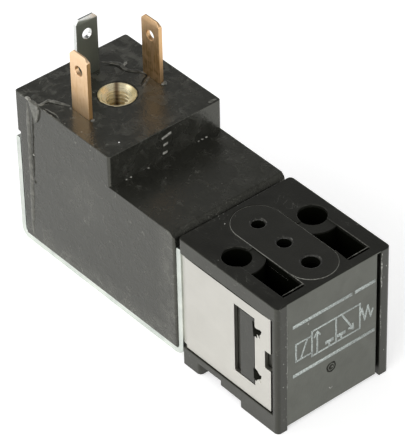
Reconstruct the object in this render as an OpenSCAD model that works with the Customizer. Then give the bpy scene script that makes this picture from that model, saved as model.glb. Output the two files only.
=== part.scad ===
// Miniature three-port solenoid valve with a port face, for mounting on a manifold.
// X runs from the coil to the valve body, Z points up out of the port face and the plug side.
// The origin is at the middle of the footprint, at the underside of the feet.

/* [Coil] */
// Distance of the coil housing's sides inside the valve body's
coil_inset = 0.05; // [0.02:0.01:0.3]
// Length of the coil housing from its upper rear face to its front face
coil_l = 25.6; // [24:0.1:32]
// Height of the coil housing's low front top above the feet
coil_low_top = 16.25; // [15.8:0.05:18]
// Height of the plug face above the low top
plug_rise = 3.85; // [3.7:0.05:6]
// Length of the raised part under the plug
plug_l = 15.5; // [13:0.1:18]
// Distance of the housing's upper rear face in front of the yoke's rear leg
plug_back = 0.6; // [0.2:0.05:0.8]
// Depth of the housing's upper rear part above the yoke's rear leg
overhang_h = 5.15; // [4.2:0.05:5.6]
// Bevel along the front top edge of the housing
coil_bevel = 0.6; // [0.1:0.1:1]
// Radius of the housing's upright corners
coil_corner_r = 0.3; // [0.1:0.05:0.7]
// Radius of the winding over its outer turns
winding_r = 6.1; // [5.2:0.1:6.2]
// Radius of the bobbin's barrel over its outside
barrel_r = 4.2; // [3.9:0.1:4.8]
// Thickness of each bobbin flange
bobbin_flange_t = 0.8; // [0.5:0.1:1.5]
// Plastic left over the bobbin at each end of the housing
coil_end_wall = 0.85; // [0.5:0.05:1.5]

/* [Terminals] */
// Width of a terminal blade
blade_w = 2.8; // [2:0.1:3.2]
// Thickness of a terminal blade
blade_t = 0.5; // [0.4:0.05:0.8]
// Reach of the two power blades above the plug face
power_blade_h = 7.5; // [5:0.1:10]
// Reach of the earth blade above the plug face
earth_blade_h = 7.3; // [5:0.1:10]
// Distance between the two power blades
blade_pitch = 9.4; // [8:0.1:10]
// Distance of the power blades from the housing's upper rear face
power_blade_x = 7.9; // [6:0.05:10]
// Distance of the earth blade from the housing's upper rear face
earth_blade_x = 2.85; // [1.5:0.05:3.5]
// Diameter of the hole in each blade
blade_hole_d = 1.2; // [0.8:0.1:1.5]
// Distance of that hole from the blade's tip
blade_hole_drop = 2.05; // [1.5:0.05:3]
// Corner cut at the blade's tip
blade_corner = 0.45; // [0.1:0.05:0.8]
// Height of the bevel along the blade's tip
blade_bevel = 0.6; // [0.2:0.05:0.9]
// Depth of the blades in the housing
blade_root = 3.4; // [2:0.1:4]

/* [Threaded insert] */
// Diameter of the insert's rim
insert_rim_d = 4.2; // [3.8:0.1:5]
// Height of the insert
insert_h = 4.4; // [3:0.1:4.8]
// Wall radius of the threaded bore
insert_bore_r = 1.25; // [1:0.05:1.5]
// Depth of the flare at the insert's mouth
insert_flare = 0.75; // [0.3:0.05:1]

/* [Yoke] */
// Thickness of the yoke strip
yoke_t = 0.7; // [0.6:0.05:1]
// Distance of the yoke's edges inside the coil housing's sides
yoke_inset = 0.2; // [0.05:0.05:0.6]
// Height of the yoke's underside above the feet
yoke_lift = 0.4; // [0.1:0.05:0.6]
// Height of the rear leg's top above the feet
yoke_rear_top = 13.7; // [13:0.05:14.2]
// Height of the front leg's top above the feet
yoke_front_top = 14.6; // [13.5:0.05:16]
// Outer radius of the yoke's bends
yoke_bend_r = 1.2; // [0.9:0.05:1.6]
// Gap between the yoke's rear leg and the coil housing
yoke_gap = 0.3; // [0.1:0.05:0.4]
// Gap between the yoke's base and the coil housing
yoke_base_gap = 0.3; // [0.1:0.05:0.4]

/* [Magnet] */
// Height of the plunger's axis above the feet
axis_z = 8.9; // [8.6:0.05:9.2]
// Radius of the plunger
plunger_r = 3; // [2.6:0.05:3]
// Length of the plunger
plunger_l = 15; // [12:0.1:18]
// Distance that the plunger moves
stroke = 0.5; // [0.3:0.05:0.55]
// Air gap left between plunger and core when the coil is on
core_gap = 0.05; // [0.02:0.01:0.1]
// Radial play of the plunger in its tube
plunger_play = 0.08; // [0.03:0.01:0.12]
// Wall of the guide tube
tube_wall = 0.3; // [0.15:0.05:0.35]
// Radial play between the tube and what is pushed over it
tube_play = 0.08; // [0.02:0.01:0.12]
// Radius of the tube's flange
flange_r = 4.9; // [4.4:0.1:5.2]
// Thickness of the tube's flange
flange_t = 0.9; // [0.5:0.05:1.2]
// Radius of the core's stud in the yoke
stud_r = 2; // [1.5:0.1:2.5]
// Radius of the staking mark in the stud's end
stake_r = 0.7; // [0.4:0.05:1]
// Depth of that mark
stake_depth = 0.3; // [0.1:0.05:0.5]
// Length of the collar behind the tube
collar_l = 1.2; // [0.8:0.1:2]
// Radius of the plunger's nose
nose_r = 2.3; // [2.1:0.05:2.5]
// Length of the plunger's nose
nose_l = 1.5; // [1:0.1:2]
// Depth of the spring bore in the plunger
spring_bore_l = 5; // [4:0.1:8]
// Mean radius of the return spring
spring_r = 1.2; // [1:0.05:1.3]
// Radius of the return spring's wire
spring_wire_r = 0.16; // [0.1:0.01:0.2]
// Turns of the return spring
spring_turns = 7; // [4:1:9]

/* [Valve body] */
// Length of the valve body
body_l = 15; // [14.6:0.1:18]
// Width of the valve body, which the coil and yoke follow
body_w = 15; // [14.8:0.1:18]
// Height of the valve body
body_h = 16.4; // [16:0.1:18]
// Radius of the body's upright corners
body_corner_r = 0.5; // [0.1:0.05:0.7]
// Height of the feet below the body's underside
foot_h = 1.5; // [0.6:0.1:1.8]
// Distance of the rear foot in front of the body's rear face
foot_back = 0.4; // [0.1:0.05:0.6]
// Length of the rear foot
foot_rear_l = 3; // [2:0.1:4]
// Length of the front foot
foot_front_l = 6; // [4:0.1:6.5]
// Length of the low pad behind the front foot
pad_l = 2.8; // [1:0.1:3.2]
// Height of that pad above the foot's sole
pad_lift = 0.9; // [0.2:0.1:1.2]
// Width of the post at each side of the front
post_w = 1.3; // [0.8:0.05:1.6]
// Width of the slot beside the far post
post_slot = 0.45; // [0.3:0.05:0.8]
// Depth of that slot
post_slot_depth = 0.9; // [0.3:0.05:1]
// Plastic left over the slot's upper end
post_slot_cap = 0.2; // [0.1:0.05:0.5]
// Height of the front panel's lower edge above the feet
panel_lift = 0.45; // [0.1:0.05:1]
// Depth of the front panel behind the posts
panel_sunk = 0.08; // [0.02:0.01:0.2]
// Diameter of a mounting hole
mount_hole_d = 3.1; // [2.6:0.1:3.3]
// Distance between the two mounting holes
mount_pitch = 10; // [9.8:0.1:10.6]
// Distance of the mounting holes behind the body's middle
mount_back = 1.4; // [0.8:0.05:1.6]
// Distance of each core pocket from the middle plane
pocket_in = 2.9; // [2.6:0.05:3.4]
// Outer reach of each core pocket from the middle plane
pocket_out = 5.7; // [5:0.05:6]
// Wall in front of the core pockets
pocket_wall = 1.15; // [0.8:0.05:2]
// Depth of the core pockets
pocket_depth = 7; // [3:0.1:10]
// Radius of the boss left round each mounting hole
boss_r = 2.9; // [2.4:0.05:3.2]
// Depth of the shallow step between a pocket and its mounting hole
pocket_step = 0.15; // [0.05:0.05:0.4]

/* [Ports] */
// Distance between neighbouring ports
port_pitch = 3.95; // [3.8:0.05:4.1]
// Diameter of the supply port at the front
supply_port_d = 1.9; // [1.2:0.1:2]
// Diameter of the outlet port in the middle
outlet_port_d = 1.5; // [1:0.1:2]
// Diameter of the exhaust port at the rear
exhaust_port_d = 1.4; // [1:0.1:1.6]
// Chamfer round each port
port_chamfer = 0.15; // [0.05:0.05:0.3]
// Radius of the gasket's round ends
gasket_end_r = 2.85; // [2.4:0.05:3]
// Thickness of the port gasket
gasket_t = 1; // [0.6:0.1:1.5]
// Gap between the gasket and its recess
gasket_gap = 0.05; // [0.02:0.01:0.1]

/* [Seats and poppet] */
// Radius of the bore that holds the two seats
seat_bore_r = 2.6; // [2.5:0.05:2.9]
// Gap round each seat in that bore
seat_gap = 0.02; // [0.01:0.01:0.05]
// Thickness of the exhaust seat's disc
exhaust_seat_t = 1.4; // [1.2:0.05:1.5]
// Thickness of the supply seat's disc
supply_seat_t = 1.3; // [1.2:0.05:1.4]
// Outer radius of the seats' nozzles
nozzle_r = 1; // [0.8:0.05:1.05]
// Radius of the hole through each nozzle
orifice_r = 0.6; // [0.3:0.05:0.7]
// Length of the exhaust seat's nozzle
exhaust_nozzle_l = 0.5; // [0.3:0.05:0.6]
// Length of the supply seat's nozzle
supply_nozzle_l = 1.2; // [1:0.05:1.4]
// Distance of the poppet's rear face from the body's rear face, coil off
poppet_x = 7.1; // [7.05:0.05:7.2]
// Thickness of the poppet
poppet_t = 0.8; // [0.6:0.05:0.9]
// Outer radius of the poppet
poppet_r = 2.2; // [2.1:0.05:2.35]
// Radius of the rubber disc in the poppet
poppet_disc_r = 1.28; // [1.15:0.01:1.3]
// Radius of a push pin
pin_r = 0.3; // [0.2:0.02:0.3]
// Distance of the push pins from the axis
pin_ring_r = 1.62; // [1.6:0.01:1.65]
// Number of push pins
pin_count = 3; // [2:1:4]
// Depth of the push pins in the plunger's nose
pin_root = 1.2; // [0.6:0.1:1.4]
// Radial gap round a push pin in the exhaust seat
pin_play = 0.06; // [0.03:0.01:0.08]
// Mean radius of the poppet's spring
poppet_spring_r = 1.5; // [1.4:0.02:1.8]
// Radius of the poppet spring's wire
poppet_wire_r = 0.1; // [0.06:0.01:0.12]
// Turns of the poppet's spring
poppet_turns = 3; // [2:1:4]
// Radius of the seal cord round each seat
seat_cord_r = 0.22; // [0.16:0.01:0.24]
// Radius of the seal cord under the tube's flange
flange_cord_r = 0.4; // [0.3:0.02:0.5]

/* [Clip] */
// Thickness of the clip's steel
clip_t = 0.5; // [0.4:0.05:0.6]
// Height of the clip's lower edge above the feet
clip_low = 2.35; // [2:0.05:3]
// Height of the clip's upper edge above the feet
clip_top = 14.45; // [14:0.05:15]
// Depth of the clip's legs below the body's sides
clip_sunk = 0.15; // [0.05:0.05:0.3]
// Length of each leg from the body's rear face
clip_l = 13.8; // [13:0.1:13.95]
// Length of each leg's heel, which lies deeper than the leg
heel_l = 0.5; // [0.4:0.05:1.5]
// Outward step from the heel to the leg
heel_step = 0.3; // [0.2:0.05:0.6]
// Gap between the clip and the body
clip_gap = 0.1; // [0.05:0.01:0.15]
// Gap in front of each leg
clip_front_gap = 0.4; // [0.2:0.05:0.6]
// Steel left in front of the leg's window
window_front = 2.4; // [2.2:0.05:3.5]
// Length of the leg's window
window_l = 3.1; // [2:0.05:3.4]
// Height of the window's lower edge above the feet
window_low = 4.3; // [4:0.05:5]
// Height of the window's upper edge above the feet
window_top = 13.05; // [12.5:0.05:13.3]
// Radius of the window's relief notches
relief_r = 0.6; // [0.3:0.05:0.7]
// Height of the tongue between the relief notches
tongue_h = 4.2; // [3:0.1:5]
// Length of the lug in each window
lug_l = 2.1; // [1:0.05:2.6]
// Gap round the lug in its window
lug_gap = 0.12; // [0.05:0.01:0.2]
// Depth of the lug below the leg's face
lug_sunk = 0.05; // [0.02:0.01:0.2]
// Depth of the notch in the leg's front edge
notch_l = 0.9; // [0.5:0.05:1.1]
// Height of that notch
notch_h = 2.25; // [1:0.05:3]
// Height of that notch's lower edge above the feet
notch_low = 7.65; // [6:0.05:9]

/* [Hidden] */

// Circle resolution, and a small overrun for clean cuts
$fn = 64;
cut = 1;

// Stations along X, from the yoke's rear leg to the body's front face
overall_l = plug_back + coil_l + yoke_t + body_l;
rear_x = -overall_l / 2;
plug_x = rear_x + plug_back;
coil_front_x = plug_x + coil_l;
body_x = coil_front_x + yoke_t;
front_x = body_x + body_l;
body_mid_x = body_x + body_l / 2;
coil_rear_x = rear_x + yoke_t + yoke_gap;
window_x1 = body_x + clip_l - window_front;
window_x0 = window_x1 - window_l;

// Coil housing
coil_w = body_w - 2 * coil_inset;
plug_top = coil_low_top + plug_rise;
coil_bottom = yoke_lift + yoke_t + yoke_base_gap;
yoke_w = coil_w - 2 * yoke_inset;
bobbin_r = winding_r + 0.1;
bobbin_x0 = coil_rear_x + coil_end_wall;
bobbin_x1 = coil_front_x - coil_end_wall;
cavity_gap = 0.02;

// Guide tube, plunger and core
tube_in_r = plunger_r + plunger_play;
tube_out_r = tube_in_r + tube_wall;
sleeve_r = tube_out_r + tube_play;
tube_x0 = rear_x + yoke_t + collar_l;
flange_x0 = body_x + clip_t;
flange_x1 = flange_x0 + flange_t;
flange_floor_x = flange_x1 + 2 * flange_cord_r;
flange_bore_r = flange_r + 0.1;

// Seats and poppet
poppet_x0 = body_x + poppet_x;
poppet_x1 = poppet_x0 + poppet_t;
exhaust_tip_x = poppet_x0 - stroke;
exhaust_x1 = exhaust_tip_x - exhaust_nozzle_l;
exhaust_x0 = exhaust_x1 - exhaust_seat_t;
supply_x0 = poppet_x1 + supply_nozzle_l;
supply_x1 = supply_x0 + supply_seat_t;
chamber_x1 = body_mid_x + port_pitch + supply_port_d / 2 + 0.6;
chamber_r = plunger_r + 0.3;
groove_w = 2 * seat_cord_r + 0.08;
groove_r = seat_bore_r - 2 * seat_cord_r - 0.04;

// Plunger's place with the coil off, its nose clear of the exhaust seat
plunger_x1 = exhaust_x0 - 0.8;
plunger_x0 = plunger_x1 - plunger_l;
core_x1 = plunger_x0 - stroke - core_gap;

// Clip, with its legs stepped in at their heels
leg_out_y = body_w / 2 - clip_sunk;
base_out_y = leg_out_y - heel_step;
leg_in_y = leg_out_y - clip_t;

// Solid cylinder along X on the plunger's axis
module x_rod(r, x0, x1) {
    translate([x0, 0, axis_z]) rotate([0, 90, 0]) cylinder(r = r, h = x1 - x0);
}

// Ring along X on the plunger's axis
module x_ring(r_out, r_in, x0, x1) {
    difference() {
        x_rod(r_out, x0, x1);
        x_rod(r_in, x0 - cut, x1 + cut);
    }
}

// Seal ring of round cord on the plunger's axis
module x_seal(ring_r, cord_r, x) {
    translate([x, 0, axis_z]) rotate([0, 90, 0]) rotate_extrude() translate([ring_r, 0]) circle(r = cord_r, $fn = 24);
}

// Box between two corners
module block(low, high) {
    translate(low) cube(high - low);
}

// Upright block with rounded upright corners
module round_block(x0, x1, w, z0, z1, r) {
    block([x0 + r, -w / 2, z0], [x1 - r, w / 2, z1]);
    block([x0, r - w / 2, z0], [x1, w / 2 - r, z1]);
    for (x = [x0 + r, x1 - r]) {
        for (y = [r - w / 2, w / 2 - r]) {
            translate([x, y, z0]) cylinder(r = r, h = z1 - z0, $fn = 32);
        }
    }
}

// Wire coil along X between two faces, with closed end turns
module wire_coil(ring_r, wire_r, x0, x1, turns) {
    sides = 8;
    per_turn = 20;
    steps = (turns + 2) * per_turn;
    lift = x1 - x0 - 4 * wire_r - 0.06;
    function centre_x(i) = x0 + wire_r + 0.01
        + (i < per_turn ? 0.5 * wire_r * i / per_turn
            : i > steps - per_turn ? wire_r * 1.5 + lift + wire_r * 0.5 * (i - steps + per_turn) / per_turn
                : 0.5 * wire_r + (lift + wire_r) * (i - per_turn) / (steps - 2 * per_turn));
    points = [for (i = [0 : steps]) for (j = [0 : sides - 1])
        let (a = 360 * i / per_turn, b = 360 * j / sides, q = ring_r + wire_r * cos(b))
        [centre_x(i) + wire_r * sin(b), q * cos(a), axis_z + q * sin(a)]];
    walls = [for (i = [0 : steps - 1]) for (j = [0 : sides - 1]) let (k = (j + 1) % sides)
        [i * sides + j, i * sides + k, (i + 1) * sides + k, (i + 1) * sides + j]];
    ends = [[for (j = [sides - 1 : -1 : 0]) j], [for (j = [0 : sides - 1]) steps * sides + j]];
    polyhedron(points = points, faces = concat(walls, ends), convexity = 8);
}

// Moulded plastic round the bobbin, raised at the rear to take the plug
module coil_housing() {
    color([0.24, 0.24, 0.22]) difference() {
        union() {
            round_block(coil_rear_x, coil_front_x, coil_w, coil_bottom, coil_low_top, coil_corner_r);
            round_block(plug_x, plug_x + plug_l, coil_w, plug_top - overhang_h, plug_top, coil_corner_r);
        }
        translate([coil_front_x, 0, coil_low_top]) rotate([0, 45, 0])
            cube([coil_bevel * sqrt(2), coil_w + cut, coil_bevel * sqrt(2)], center = true);
        x_rod(bobbin_r + cavity_gap, bobbin_x0 - cavity_gap, bobbin_x1 + cavity_gap);
        x_rod(sleeve_r, rear_x - cut, coil_front_x + cut);
        translate([plug_x + plug_l / 2, 0, plug_top - insert_h]) cylinder(d = insert_rim_d, h = insert_h + cut);
        for (side = [-1, 1]) {
            translate([plug_x + power_blade_x, side * blade_pitch / 2, plug_top - blade_root])
                blade_slot(blade_w, blade_t);
        }
        translate([plug_x + earth_blade_x, 0, plug_top - blade_root]) blade_slot(blade_t, blade_w);
    }
}

// Slot that a blade's root fills in the housing
module blade_slot(l, w) {
    translate([-l / 2, -w / 2, 0]) cube([l, w, blade_root + cut]);
}

// Flat blade standing in the X-Z plane, from its root to its bevelled tip
module blade(reach) {
    tip_t = blade_t * 0.4;
    difference() {
        intersection() {
            rotate([90, 0, 0]) linear_extrude(blade_t, center = true) polygon([
                [-blade_w / 2, -blade_root],
                [blade_w / 2, -blade_root],
                [blade_w / 2, reach - blade_corner],
                [blade_w / 2 - blade_corner, reach],
                [blade_corner - blade_w / 2, reach],
                [-blade_w / 2, reach - blade_corner]]);
            rotate([90, 0, 90]) linear_extrude(blade_w + cut, center = true) polygon([
                [-blade_t / 2, -blade_root],
                [blade_t / 2, -blade_root],
                [blade_t / 2, reach - blade_bevel],
                [tip_t / 2, reach],
                [-tip_t / 2, reach],
                [-blade_t / 2, reach - blade_bevel]]);
        }
        translate([0, 0, reach - blade_hole_drop]) rotate([90, 0, 0])
            cylinder(d = blade_hole_d, h = blade_t + cut, center = true);
    }
}

module power_blade(side) {
    color([0.85, 0.62, 0.42]) translate([plug_x + power_blade_x, side * blade_pitch / 2, plug_top])
        blade(power_blade_h);
}

module terminal_power_a() {
    power_blade(-1);
}

module terminal_power_b() {
    power_blade(1);
}

module terminal_earth() {
    color([0.7, 0.7, 0.68]) translate([plug_x + earth_blade_x, 0, plug_top]) rotate([0, 0, 90])
        blade(earth_blade_h);
}

// Brass bush moulded into the plug face, flared at its mouth
module threaded_insert() {
    flare_r = insert_rim_d / 2 - 0.2;
    color([0.85, 0.72, 0.4]) translate([plug_x + plug_l / 2, 0, plug_top - insert_h]) difference() {
        cylinder(d = insert_rim_d, h = insert_h);
        translate([0, 0, 0.6]) cylinder(r = insert_bore_r, h = insert_h);
        translate([0, 0, insert_h - insert_flare])
            cylinder(r1 = insert_bore_r, r2 = flare_r, h = insert_flare);
        translate([0, 0, insert_h - 0.001]) cylinder(r = flare_r, h = cut);
    }
}

// Spool that carries the winding
module bobbin() {
    color([0.85, 0.83, 0.76]) difference() {
        union() {
            x_rod(barrel_r, bobbin_x0, bobbin_x1);
            x_rod(bobbin_r, bobbin_x0, bobbin_x0 + bobbin_flange_t);
            x_rod(bobbin_r, bobbin_x1 - bobbin_flange_t, bobbin_x1);
        }
        x_rod(sleeve_r, bobbin_x0 - cut, bobbin_x1 + cut);
    }
}

// Copper winding between the bobbin's flanges
module winding() {
    color([0.72, 0.36, 0.18])
        x_ring(winding_r, barrel_r, bobbin_x0 + bobbin_flange_t, bobbin_x1 - bobbin_flange_t);
}

// Bent steel strip round the coil, with a hole in each leg
module yoke() {
    x1 = coil_front_x + yoke_t;
    color([0.82, 0.84, 0.8]) difference() {
        union() {
            block([rear_x, -yoke_w / 2, yoke_lift + yoke_bend_r], [rear_x + yoke_t, yoke_w / 2, yoke_rear_top]);
            block([x1 - yoke_t, -yoke_w / 2, yoke_lift + yoke_bend_r], [x1, yoke_w / 2, yoke_front_top]);
            block([rear_x + yoke_bend_r, -yoke_w / 2, yoke_lift], [x1 - yoke_bend_r, yoke_w / 2, yoke_lift + yoke_t]);
            yoke_bend(rear_x + yoke_bend_r, -1);
            yoke_bend(x1 - yoke_bend_r, 1);
        }
        x_rod(stud_r, rear_x - cut, rear_x + yoke_t + cut);
        x_rod(sleeve_r, coil_front_x - cut, x1 + cut);
    }
}

// Quarter bend between the yoke's base and one leg
module yoke_bend(x, side) {
    intersection() {
        translate([x, 0, yoke_lift + yoke_bend_r]) rotate([90, 0, 0]) difference() {
            cylinder(r = yoke_bend_r, h = yoke_w, center = true);
            cylinder(r = yoke_bend_r - yoke_t, h = yoke_w + cut, center = true);
        }
        translate([side > 0 ? x : x - yoke_bend_r, -yoke_w / 2, yoke_lift])
            cube([yoke_bend_r, yoke_w, yoke_bend_r]);
    }
}

// Steel pole staked in the yoke's rear leg
module fixed_core() {
    color([0.6, 0.6, 0.6]) {
        difference() {
            x_rod(stud_r, rear_x, rear_x + yoke_t);
            x_rod(stake_r, rear_x - cut, rear_x + stake_depth);
        }
        x_rod(tube_out_r, rear_x + yoke_t, tube_x0);
        x_rod(tube_in_r, tube_x0, core_x1);
    }
}

// Thin tube that the plunger slides in, with its flange against the valve body
module guide_tube() {
    color([0.78, 0.78, 0.76]) {
        x_ring(tube_out_r, tube_in_r, tube_x0, flange_x1);
        x_ring(flange_r, tube_out_r, flange_x0, flange_x1);
    }
}

// Moving steel core, bored for its spring and for the push pins
module plunger() {
    color([0.7, 0.7, 0.7]) difference() {
        union() {
            x_rod(plunger_r, plunger_x0, plunger_x1 - nose_l);
            x_rod(nose_r, plunger_x1 - nose_l, plunger_x1);
        }
        x_rod(spring_r + spring_wire_r + 0.2, plunger_x0 - cut, plunger_x0 + spring_bore_l);
        pin_holes(pin_r + 0.01, plunger_x1 - pin_root, plunger_x1 + cut);
    }
}

// Rods on the ring of the push pins
module pin_holes(r, x0, x1) {
    for (i = [0 : pin_count - 1]) {
        translate([0, pin_ring_r * sin(360 * i / pin_count), pin_ring_r * cos(360 * i / pin_count)])
            x_rod(r, x0, x1);
    }
}

// Pins that reach from the plunger's nose to the poppet
module push_pins() {
    color([0.75, 0.75, 0.75]) pin_holes(pin_r, plunger_x1 - pin_root, poppet_x0);
}

// Spring between the fixed core and the bottom of the plunger's bore
module return_spring() {
    color([0.7, 0.7, 0.72])
        wire_coil(spring_r, spring_wire_r, core_x1, plunger_x0 + spring_bore_l, spring_turns);
}

// Oval outline round the three ports
module oval(grow, z0, z1) {
    reach = gasket_end_r + grow;
    block([body_mid_x - port_pitch, -reach, z0], [body_mid_x + port_pitch, reach, z1]);
    for (x = [body_mid_x - port_pitch, body_mid_x + port_pitch]) {
        translate([x, 0, z0]) cylinder(r = reach, h = z1 - z0);
    }
}

// The three port holes, from the front: supply, outlet and exhaust
module port_holes(z0, z1) {
    port_d = [supply_port_d, outlet_port_d, exhaust_port_d];
    for (i = [0 : 2]) {
        translate([body_mid_x + (1 - i) * port_pitch, 0, z0]) cylinder(d = port_d[i], h = z1 - z0);
    }
}

// Core pocket beside the ports, cut back round the mounting hole's boss
module core_pocket(side) {
    x0 = body_mid_x - mount_back;
    x1 = front_x - pocket_wall;
    difference() {
        block([x0, side > 0 ? pocket_in : -pocket_out, body_h - pocket_depth],
            [x1, side > 0 ? pocket_out : -pocket_in, body_h + cut]);
        translate([x0, side * mount_pitch / 2, body_h - pocket_depth - cut])
            cylinder(r = boss_r, h = pocket_depth - pocket_step + cut);
    }
}

// Seat for one leg of the clip: the open recess, deeper at the heel
module leg_recess(side) {
    floor_y = leg_in_y - 0.02;
    step_floor_y = base_out_y - clip_t - 0.02;
    mirror([0, side > 0 ? 0 : 1, 0]) difference() {
        union() {
            block([body_x + heel_l, floor_y, clip_low - clip_gap],
                [body_x + clip_l + clip_front_gap, body_w / 2 + cut, clip_top + clip_gap]);
            block([body_x - cut, step_floor_y, clip_low - clip_gap],
                [body_x + heel_l + heel_step + 0.2, body_w / 2 + cut, clip_top + clip_gap]);
        }
        block([window_x1 - lug_gap - lug_l, floor_y - cut, window_low + lug_gap],
            [window_x1 - lug_gap, leg_out_y - lug_sunk, window_top - lug_gap]);
    }
}

// Moulded block with the ports, chambers, mounting holes and feet
module valve_body() {
    color([0.2, 0.2, 0.18]) difference() {
        union() {
            round_block(body_x, front_x, body_w, foot_h, body_h, body_corner_r);
            round_block(body_x, body_x + foot_rear_l, body_w, 0, foot_h + body_corner_r, body_corner_r);
            round_block(front_x - foot_front_l, front_x, body_w, 0, foot_h + body_corner_r, body_corner_r);
            block([front_x - foot_front_l - pad_l, -body_w / 2, pad_lift],
                [front_x - foot_front_l + body_corner_r, body_w / 2, foot_h + body_corner_r]);
        }
        block([front_x - post_w, post_w - body_w / 2, -cut], [front_x + cut, body_w / 2 - post_w, panel_lift]);
        block([front_x - panel_sunk, post_w - body_w / 2, -cut],
            [front_x + cut, body_w / 2 - post_w, body_h + cut]);
        block([front_x - post_slot_depth, body_w / 2 - post_w - post_slot, -cut],
            [front_x + cut, body_w / 2 - post_w, body_h - post_slot_cap]);
        block([body_x - cut, -body_w, -cut], [body_x + foot_back, body_w, clip_low - clip_gap]);
        oval(gasket_gap, body_h - gasket_t, body_h + cut);
        port_holes(axis_z, body_h);
        for (side = [-1, 1]) {
            translate([body_mid_x - mount_back, side * mount_pitch / 2, -cut])
                cylinder(d = mount_hole_d, h = body_h + 2 * cut);
            core_pocket(side);
            leg_recess(side);
        }
        block([body_x - cut, -base_out_y, clip_low - clip_gap], [body_x + clip_t, base_out_y, clip_top + clip_gap]);
        x_rod(flange_bore_r, body_x, flange_floor_x);
        x_rod(chamber_r, body_x, exhaust_x0);
        x_rod(seat_bore_r, body_x, chamber_x1);
    }
}

// Rubber plate let into the port face
module port_gasket() {
    color([0.16, 0.16, 0.15]) difference() {
        oval(0, body_h - gasket_t, body_h);
        port_holes(body_h - gasket_t - cut, body_h + cut);
        port_chamfers();
    }
}

// Chamfers at the mouths of the ports
module port_chamfers() {
    port_d = [supply_port_d, outlet_port_d, exhaust_port_d];
    for (i = [0 : 2]) {
        translate([body_mid_x + (1 - i) * port_pitch, 0, body_h - port_chamfer])
            cylinder(r1 = port_d[i] / 2, r2 = port_d[i] / 2 + 2 * port_chamfer, h = 2 * port_chamfer);
    }
}

// Disc with a seal groove, shared by both seats
module seat_disc(x0, x1) {
    mid = (x0 + x1) / 2;
    difference() {
        x_rod(seat_bore_r - seat_gap, x0, x1);
        x_ring(seat_bore_r + cut, groove_r, mid - groove_w / 2, mid + groove_w / 2);
    }
}

// Seat between the outlet and the exhaust, with holes for the push pins
module exhaust_seat() {
    color([0.8, 0.68, 0.38]) difference() {
        union() {
            seat_disc(exhaust_x0, exhaust_x1);
            x_rod(nozzle_r, exhaust_x0, exhaust_tip_x);
        }
        x_rod(orifice_r, exhaust_x0 - cut, exhaust_tip_x + cut);
        pin_holes(pin_r + pin_play, exhaust_x0 - cut, exhaust_x1 + cut);
    }
}

// Seat between the supply and the outlet
module supply_seat() {
    color([0.8, 0.68, 0.38]) difference() {
        union() {
            seat_disc(supply_x0, supply_x1);
            x_rod(nozzle_r, poppet_x1, supply_x1);
        }
        x_rod(orifice_r, poppet_x1 - cut, supply_x1 + cut);
    }
}

// Ring that the push pins and the poppet's spring press on
module poppet_holder() {
    color([0.78, 0.7, 0.5]) x_ring(poppet_r, poppet_disc_r, poppet_x0, poppet_x1);
}

// Rubber disc that closes on either nozzle
module poppet_seal() {
    color([0.15, 0.15, 0.15]) x_rod(poppet_disc_r, poppet_x0, poppet_x1);
}

// Spring round the supply nozzle
module poppet_spring() {
    color([0.7, 0.7, 0.72])
        wire_coil(poppet_spring_r, poppet_wire_r, poppet_x1, supply_x0, poppet_turns);
}

module flange_o_ring() {
    ring_r = (flange_bore_r + chamber_r) / 2;
    color([0.12, 0.12, 0.12]) x_seal(ring_r, flange_cord_r - 0.01, flange_x1 + flange_cord_r);
}

module exhaust_seat_o_ring() {
    color([0.12, 0.12, 0.12])
        x_seal(seat_bore_r - seat_cord_r - 0.01, seat_cord_r, (exhaust_x0 + exhaust_x1) / 2);
}

module supply_seat_o_ring() {
    color([0.12, 0.12, 0.12])
        x_seal(seat_bore_r - seat_cord_r - 0.01, seat_cord_r, (supply_x0 + supply_x1) / 2);
}

// One leg of the clip, seen along Y, with its window, relief notches and front notch
module leg_cuts() {
    mid_z = (window_low + window_top) / 2;
    block([window_x0, -body_w, window_low], [window_x1, body_w, window_top]);
    for (z = [mid_z - tongue_h / 2 - relief_r, mid_z + tongue_h / 2 + relief_r]) {
        translate([window_x1, 0, z]) rotate([90, 0, 0]) cylinder(r = relief_r, h = 2 * body_w, center = true);
    }
    block([body_x + clip_l - notch_l, -body_w, notch_low], [body_x + clip_l + cut, body_w, notch_low + notch_h]);
}

// Spring steel clip: its base holds the tube's flange, its legs lie in the body's sides
module retaining_clip() {
    color([0.82, 0.81, 0.77]) difference() {
        union() {
            block([body_x, -base_out_y, clip_low], [body_x + clip_t, base_out_y, clip_top]);
            for (side = [-1, 1]) {
                mirror([0, side > 0 ? 0 : 1, 0]) clip_leg();
            }
        }
        x_rod(sleeve_r, body_x - cut, body_x + clip_t + cut);
        leg_cuts();
    }
}

// Leg with its heel and outward step, drawn in the X-Y plane
module clip_leg() {
    step_x = body_x + heel_l;
    translate([0, 0, clip_low]) linear_extrude(clip_top - clip_low) polygon([
        [body_x, base_out_y - clip_t],
        [step_x + 0.1, base_out_y - clip_t],
        [step_x + 0.1 + heel_step, leg_in_y],
        [body_x + clip_l, leg_in_y],
        [body_x + clip_l, leg_out_y],
        [step_x + heel_step, leg_out_y],
        [step_x, base_out_y],
        [body_x, base_out_y]]);
}

coil_housing();
yoke();
terminal_power_a();
terminal_power_b();
terminal_earth();
threaded_insert();
bobbin();
winding();
fixed_core();
guide_tube();
plunger();
push_pins();
return_spring();
valve_body();
port_gasket();
exhaust_seat();
supply_seat();
poppet_holder();
poppet_seal();
poppet_spring();
flange_o_ring();
exhaust_seat_o_ring();
supply_seat_o_ring();
retaining_clip();
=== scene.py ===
import math

import bmesh
import bpy
from mathutils import Matrix, Vector, noise


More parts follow.
